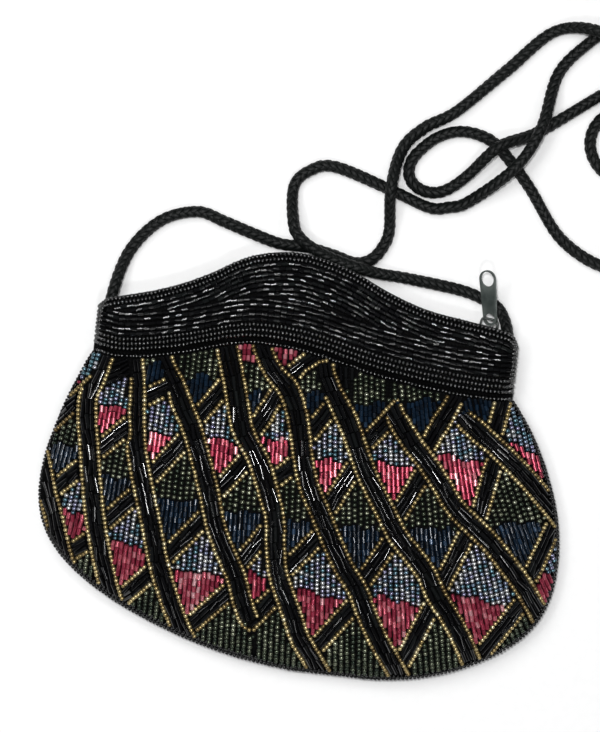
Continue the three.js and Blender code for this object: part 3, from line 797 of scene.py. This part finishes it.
class Face:
    """A panel's outer face, on which threads are laid straight down or up."""

    def __init__(self, node, side):
        mesh = outer_face(node, side, 2)
        shape = bmesh.new()
        shape.from_mesh(mesh)
        self.tree = BVHTree.FromBMesh(shape)
        self.side = side
        border = np.array([vert.co for vert in shape.verts if vert.is_boundary]) / MM
        rim = border[np.abs(border[:, 2] - SEAM_Z) < SEAM_GAP]
        shape.free()
        turn = np.arctan2(rim[:, 0] - POUCH_MIDDLE[0], POUCH_MIDDLE[1] - rim[:, 1])
        self.rim = even_line(rim[np.argsort(turn)][:, :2], 0.7)

    def at(self, places):
        """Points and normals of the face under flat places, and which of them are on it."""
        points = np.zeros((len(places), 3))
        normals = np.zeros((len(places), 3))
        on = np.zeros(len(places), bool)
        down = Vector((0, 0, -self.side))
        for row, (x, y) in enumerate(places):
            point, normal, _, _ = self.tree.ray_cast(Vector((x * MM, y * MM, self.side * 0.1)), down)
            if point is not None:
                points[row] = np.array(point) / MM
                normals[row] = normal
                on[row] = True
        return points, normals, on

    def rim_distance(self, places):
        return np.abs(side_of(places, self.rim)[0])

    def border(self, distances):
        """Lines on the face that run along the seam at distances up from it."""
        inward = unit(np.stack([-directions(self.rim)[:, 1], directions(self.rim)[:, 0]], axis=1))
        steps = np.concatenate([np.linspace(0.02, 1.2, 25), np.linspace(1.4, 9, 39)])
        lines = [[] for _ in distances]
        for place, way in zip(self.rim[1:-1], inward[1:-1]):
            points, normals, on = self.at(place + steps[:, None] * way)
            if on.sum() < 10:
                continue
            points, normals = points[on], normals[on]
            start = np.array([[*place, SEAM_Z + self.side * SEAM_GAP / 2]])
            climbed = along(np.vstack([start, points]))[1:]
            for line, distance in zip(lines, distances):
                line.append([np.interp(distance, climbed, column) for column in (*points.T, *normals.T)])
        return [np.array(line) for line in lines]


def pouch_top(x):
    return band_edges(np.clip(x, -88.6, 79.0))[1] - BAND_GAP


def front_beadwork():
    face = Face("pouch_front", 1)
    gold = Strings("gold", seed_bead)
    lilac = Strings("lilac", seed_bead)
    olive = Strings("olive", seed_bead)
    black = Strings("black", seed_bead)
    rim = Strings("black", seed_bead)
    jet = Strings("jet", bugle_bead)
    jet_cross = Strings("jet", bugle_bead, "jet_cross")
    red = Strings("red", bugle_bead)
    navy = Strings("navy", bugle_bead)
    lines = {name: smooth_line(rows) for name, rows in long_bands.items()}

    def open_ground(places):
        """Where the pattern goes: below the rows at the band and inside the border at the seam."""
        x, y = places.T
        left_edge = np.interp(y, [-48, -36, -10, 35], [1.9, 0.4, 0.4, 0.7])
        edge = np.where(x < -60, left_edge, np.interp(x, [-60, 20], [1.9, 1.2]))
        return (y < pouch_top(x) - 2.0) & (face.rim_distance(places) > edge)

    def thread(strings, places, allowed, **how):
        points, normals, on = face.at(places)
        for start, stop in runs(on & allowed):
            strings.lay(points[start:stop], normals[start:stop], **how)

    def edge_of(name, side, heights):
        """How far a long band's edge is from its middle."""
        height = slim_sides.get((name, side), 99)
        return np.interp(heights, [height - 3, height + 3], [LONG_EDGE, SLIM_EDGE])

    def clear_of_long(places, beyond, names):
        allowed = np.ones(len(places), bool)
        for name, sign in names:
            if name is None:
                continue
            line, tail = lines[name], None
            if name in bare_ends:
                end, meeting = bare_ends[name]
                line = np.vstack([line, [meeting]]) if end == "end" else np.vstack([[meeting], line])
                tail = len(line) - 2 if end == "end" else 0
            gap, near = side_of(places, line)
            heights = places[:, 1]
            bare = heights > bare_sides.get((name, sign), 99)
            limit = edge_of(name, sign, heights) + beyond - 1.3 * bare
            allowed &= sign * gap > np.where(near == tail, 0.5, limit)
        return allowed

    for name, line in lines.items():
        for step in (-1, 0, 1):
            places = beside(line, step * LONG_PITCH)
            inside = open_ground(places) & (face.rim_distance(places) > LONG_END)
            thread(jet, places, inside & (places[:, 1] < slim_sides.get((name, step), 99)))
        for side in (-1, 1):
            places = beside(line, side * edge_of(name, side, line[:, 1])[:, None])
            thread(gold, places, open_ground(places) & (places[:, 1] < bare_sides.get((name, side), 99)))
    for join in gold_joins:
        places = smooth_line(join)
        thread(gold, places, open_ground(places))

    for left, right, crossings, fillings in columns:
        sides = [(left, 1), (right, -1)]
        for low, high, *gilt in crossings:
            low, high = np.array(low), np.array(high)
            way = unit(high - low)
            down = np.array([way[1], -way[0]])
            span = np.linspace(-9, np.linalg.norm(high - low) + 9, 90)[:, None] * way + low
            gilt = gilt[0] if gilt else (-1, 1)
            for step in (-1, 0, 1) if gilt else range(-7, 3):
                places = span + step * CROSS_PITCH * down
                thread(jet_cross, places, open_ground(places) & clear_of_long(places, 1.1, sides))
            for edge in gilt:
                places = span + edge * CROSS_EDGE * down
                thread(gold, places, open_ground(places) & clear_of_long(places, 1.4, sides))
        for number, filling in enumerate(fillings):
            if filling == "pleat":
                continue
            above = crossings[number - 1] if number > 0 else None
            below = crossings[number] if number < len(crossings) else None
            top = np.array(above[1]) if above else None
            tip = np.array(below[0]) if below else None
            ends = [spot for spot in (top, tip) if spot is not None] or [LEFT_SCRAP]
            middle = np.mean(ends, axis=0)
            lean = math.radians(np.interp(middle[0], *fan_rows.T))
            axis = np.array([math.sin(lean), -math.cos(lean)])
            across = np.array([-axis[1], axis[0]])
            if len(ends) == 2:
                split = middle @ LEVEL_DOWN
            elif tip is not None:
                split = tip @ LEVEL_DOWN - first_changes.get(left, CELL_LONG / 2)
            elif top is not None:
                split = top @ LEVEL_DOWN + (CELL_LONG if filling == "green" else CELL_LONG / 2)
            else:
                split = LEFT_SCRAP @ LEVEL_DOWN
            if filling == "red":
                seeds, bugles, seed_pitch, slant = lilac, red, LILAC_PITCH, RED_SLANT
            else:
                seeds, bugles, seed_pitch, slant = olive, navy, OLIVE_PITCH, 0.0
            offsets = np.arange(-36, 37, 3)
            cuts = split + slant * offsets + 0.012 * offsets ** 2 + 1.2 * draw.standard_normal(len(offsets))
            for strings, pitch, least in ((seeds, seed_pitch, 0.55), (bugles, BUGLE_PITCH, 0.3)):
                for offset in np.arange(-34, 34, pitch):
                    places = middle + offset * across + np.linspace(-46, 46, 200)[:, None] * axis
                    allowed = open_ground(places) & clear_of_long(places, FILL_CLEAR, sides)
                    for cross, sign in ((above, 1), (below, -1)):
                        if cross is not None:
                            way = unit(np.array(cross[1]) - np.array(cross[0]))
                            gap = (places - np.array(cross[0])) @ np.array([way[1], -way[0]])
                            allowed &= sign * gap > CROSS_EDGE + FILL_CLEAR
                    if number == 0 and left in top_patches:
                        sort, line = top_patches[left]
                        patch = side_of(places, np.array(line))[0] > 0
                        if strings is bugles:
                            thread(red if sort == "red" else jet_cross, places, allowed & patch, least=least)
                        allowed &= ~patch
                    upper = places @ LEVEL_DOWN < np.interp(offset, offsets, cuts)
                    thread(strings, places, allowed & (upper == (strings is seeds)), least=least)

    for number, line in enumerate(face.border([0.85, 2.5, 4.15])):
        low_left = (line[:, 0] < -10) & (line[:, 1] < -38)
        keep = (line[:, 0] > -200, (line[:, 0] > -60) | low_left, low_left)[number]
        for start, stop in runs(keep):
            rim.lay(line[start:stop, :3], line[start:stop, 3:])
    x = np.linspace(-91, 81, 430)
    places = np.stack([x, pouch_top(x) - 0.85], axis=1)
    thread(black, places, face.rim_distance(places) > 0.4)

    for name, strings, finish, crisp in (
        ("front_gold_seeds", gold, "gold", False), ("front_lilac_seeds", lilac, "lilac", False),
        ("front_olive_seeds", olive, "olive", False), ("front_black_seeds", black, "black", False),
        ("front_rim_seeds", rim, "rim", False),
        ("front_long_bugles", jet, "jet", True), ("front_cross_bugles", jet_cross, "jet", True),
        ("front_red_bugles", red, "red", True), ("front_navy_bugles", navy, "navy", True),
    ):
        strings.make(name, finish, "pouch_beadwork", crisp)


def back_beadwork():
    face = Face("pouch_back", -1)
    black = Strings("black", plain_seed)
    black.space = 0.36
    for line in face.border([0.85, 2.7, 4.5]):
        black.lay(line[:, :3], line[:, 3:])
    for x in np.arange(-104, 105, 2.5):
        y = np.arange(-86, 50, 0.6)
        places = np.stack([np.full_like(y, x), y], axis=1)
        points, normals, on = face.at(places)
        inside = (face.rim_distance(places) > 3.4) & (y < pouch_top(places[:, 0]) - 0.6)
        for start, stop in runs(on & inside):
            black.lay(points[start:stop], normals[start:stop])
    black.make("back_black_seeds", "black", "pouch_beadwork")


# The band: bugle rows between rows of seeds

SEED_ROW = 2.0
BUGLE_ROW = 2.0
LOW_ROWS = 5


def band_path():
    """Places along the outside of half of the band: along X, and how far out and endwards it faces."""
    left, right = band_rows[0, 0], band_rows[-1, 0]
    turn = np.linspace(0.02, math.pi / 2, 14)
    flat = np.linspace(left + BAND_CORNER, right - BAND_CORNER, 380)[1:-1]
    inset = BAND_CORNER * (1 - np.cos(turn))
    x = np.concatenate([left + inset, flat, (right - inset)[::-1]])
    out = np.concatenate([np.sin(turn), np.ones_like(flat), np.sin(turn)[::-1]])
    end = np.concatenate([-np.cos(turn), np.zeros_like(flat), np.cos(turn)[::-1]])
    return x, out, end


def band_points(side, x, out, end, y):
    upper, lower = band_edges(x)
    share = np.clip((upper - y) / (upper - lower), 0, 1)
    bow = BAND_BOW * 4 * share * (1 - share) if side > 0 else 0
    high = SEAM_Z - SEAM_GAP / 2
    points = np.stack([x, y, SEAM_Z + side * (SEAM_GAP / 2 + (high + bow) * out)], axis=1)
    return points, unit(np.stack([end, np.zeros_like(x), side * out], axis=1))


def band_beadwork(place, side):
    bugles = Strings("jet", bugle_bead, "jet_band")
    seeds = Strings("black", seed_bead if side > 0 else plain_seed)
    x, out, end = band_path()
    upper, lower = band_edges(x)
    low_row = np.interp(x, [-80, -40, 0], [1.92, 2.02, 2.2])
    on_front = out > 0.82
    for row in range(3):
        points, normals = band_points(side, x, out, end, lower + 0.95 + low_row * row)
        seeds.lay(points, normals)
    for row in range(2):
        points, normals = band_points(side, x, out, end, upper - 0.95 - SEED_ROW * row)
        seeds.lay(points, normals)
    low = lower + 0.95 + low_row * 3
    for row in range(LOW_ROWS):
        y = low + BUGLE_ROW * row
        points, normals = band_points(side, x, out, end, y)
        for start, stop in runs(on_front & (y < upper - 0.95 - SEED_ROW * 2 + 0.3)):
            bugles.lay(points[start:stop], normals[start:stop])
    for row in range(16):
        y = upper - 0.95 - SEED_ROW * 2 - BUGLE_ROW * row
        points, normals = band_points(side, x, out, end, y)
        for start, stop in runs(on_front & (y > low + BUGLE_ROW * (LOW_ROWS - 0.35))):
            bugles.lay(points[start:stop], normals[start:stop])
    for sign, place_x in ((-1, band_rows[0, 0]), (1, band_rows[-1, 0])):
        for turn in (0.16, 0.5, 0.82):
            x_end = place_x - sign * BAND_CORNER * (1 - math.cos(turn))
            top, bottom = band_edges(np.array([x_end]))
            y = np.linspace(top[0] - 3.6, bottom[0] + 5.6, 30)
            out_end = [np.full_like(y, value) for value in (x_end, math.sin(turn), sign * math.cos(turn))]
            points, normals = band_points(side, *out_end, y)
            seeds.lay(points, normals)
    bugles.make("band_" + place + "_bugles", "band_jet", "band_beadwork", True)
    seeds.make("band_" + place + "_seeds", "black", "band_beadwork")


def neck_lining(place, side):
    """The cloth behind the seam between the band and the pouch."""
    x, out, end = band_path()
    lower = band_edges(x)[1]
    rows = []
    for rise, depth in ((3.2, 1.9), (1.0, 1.9), (-1.4, 5.6), (-3.6, 6.2)):
        points, normals = band_points(side, x, out, end, lower + rise)
        rows.append(points - normals * np.minimum(depth, 0.3 + 6 * out)[:, None])
    shape = bmesh.new()
    grid = [[shape.verts.new(spot * MM) for spot in row] for row in rows]
    for high, low in zip(grid, grid[1:]):
        for corners in zip(high, high[1:], low[1:], low):
            shape.faces.new(corners if side < 0 else corners[::-1])
    lining = piece("neck_lining_" + place, mesh_of(shape, "neck_lining_" + place), "cloth")
    wall = lining.modifiers.new("wall", "SOLIDIFY")
    wall.thickness = 0.4 * MM
    wall.offset = -1


# The zip

def zip_spread(x):
    """How far each half of the zip stands from the middle of the mouth."""
    open_half = MOUTH_GAP / 2 - SEAM_GAP - COIL_THICK / 2
    share = np.clip((x - ZIP_CLOSING) / (SLIDER_X - SLIDER_LONG / 2 - ZIP_CLOSING), 0, 1)
    return open_half + (CHANNEL_OFF - open_half) * share ** 2 * (3 - 2 * share)


def zip_coil(place, side):
    """The coil: a wire of nylon wound along the edge of its tape."""
    turns = 118
    share = np.linspace(0, 1, turns * 10)
    x = ZIP_FROM + 0.4 + share * (SLIDER_X - ZIP_FROM - 0.8)
    spin = 2 * math.pi * turns * share
    y = band_edges(x)[0] - COIL_DOWN + 0.68 * np.sin(spin)
    z = SEAM_Z + side * zip_spread(x) + 0.52 * np.cos(spin)
    wire = bpy.data.curves.new("coil_wire", "CURVE")
    wire.dimensions = "3D"
    wire.bevel_depth = 0.27 * MM
    wire.bevel_resolution = 1
    wire.use_fill_caps = True
    path = wire.splines.new("POLY")
    path.points.add(len(x) - 1)
    path.points.foreach_set("co", (np.stack([x, y, z, np.full_like(x, 1 / MM)], axis=1) * MM).ravel())
    wound = bpy.data.objects.new("coil_wire", wire)
    bpy.context.scene.collection.objects.link(wound)
    mesh = bpy.data.meshes.new_from_object(wound.evaluated_get(bpy.context.evaluated_depsgraph_get()))
    bpy.data.objects.remove(wound)
    coil = piece("coil_turns_" + place, mesh, "coil")
    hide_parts("zip_coil_" + place)


def rounded_copy(name, node, finish, body, width, sharp):
    """A CAD piece with its sharp edges eased."""
    shape = bmesh.new()
    shape.from_mesh(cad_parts[node].data)
    bmesh.ops.remove_doubles(shape, verts=shape.verts, dist=1e-6)
    bmesh.ops.dissolve_limit(shape, angle_limit=math.radians(1), verts=shape.verts, edges=shape.edges)
    limit = math.radians(sharp)
    edges = [edge for edge in shape.edges if edge.is_manifold and edge.calc_face_angle() > limit]
    bmesh.ops.bevel(shape, geom=edges, offset=width * MM, offset_type="OFFSET", affect="EDGES", segments=2,
                    profile=0.5, material=-1, clamp_overlap=True)
    made = piece(name, mesh_of(shape, name), finish, body)
    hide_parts(node)
    return made


def woven_tape(place):
    """A zip tape with a slight ripple along it."""
    shape = bmesh.new()
    node = "zip_tape_" + place
    shape.from_mesh(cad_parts[node].data)
    bmesh.ops.remove_doubles(shape, verts=shape.verts, dist=1e-6)
    bmesh.ops.subdivide_edges(shape, edges=shape.edges, cuts=2, use_grid_fill=True)
    for vert in shape.verts:
        vert.co.z += 0.12 * MM * math.sin(vert.co.x / MM * 0.9)
    tape = piece("woven_tape_" + place, mesh_of(shape, "woven_tape_" + place), "tape")
    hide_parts(node)


studio_camera()
braided_strap()
studio()
for half, facing in (("front", 1), ("back", -1)):
    ground_cloth("pouch_cloth_" + half, "pouch_" + half, facing)
    ground_cloth("band_cloth_" + half, "band_" + half, facing)
    band_beadwork(half, facing)
    neck_lining(half, facing)
    zip_coil(half, facing)
    woven_tape(half)
front_beadwork()
back_beadwork()
rounded_copy("slider_body", "zip_slider", "slider", "bag", 0.18, 60)
rounded_copy("pull_tab", "zip_pull", "metal", "pull", 0.2, 60)
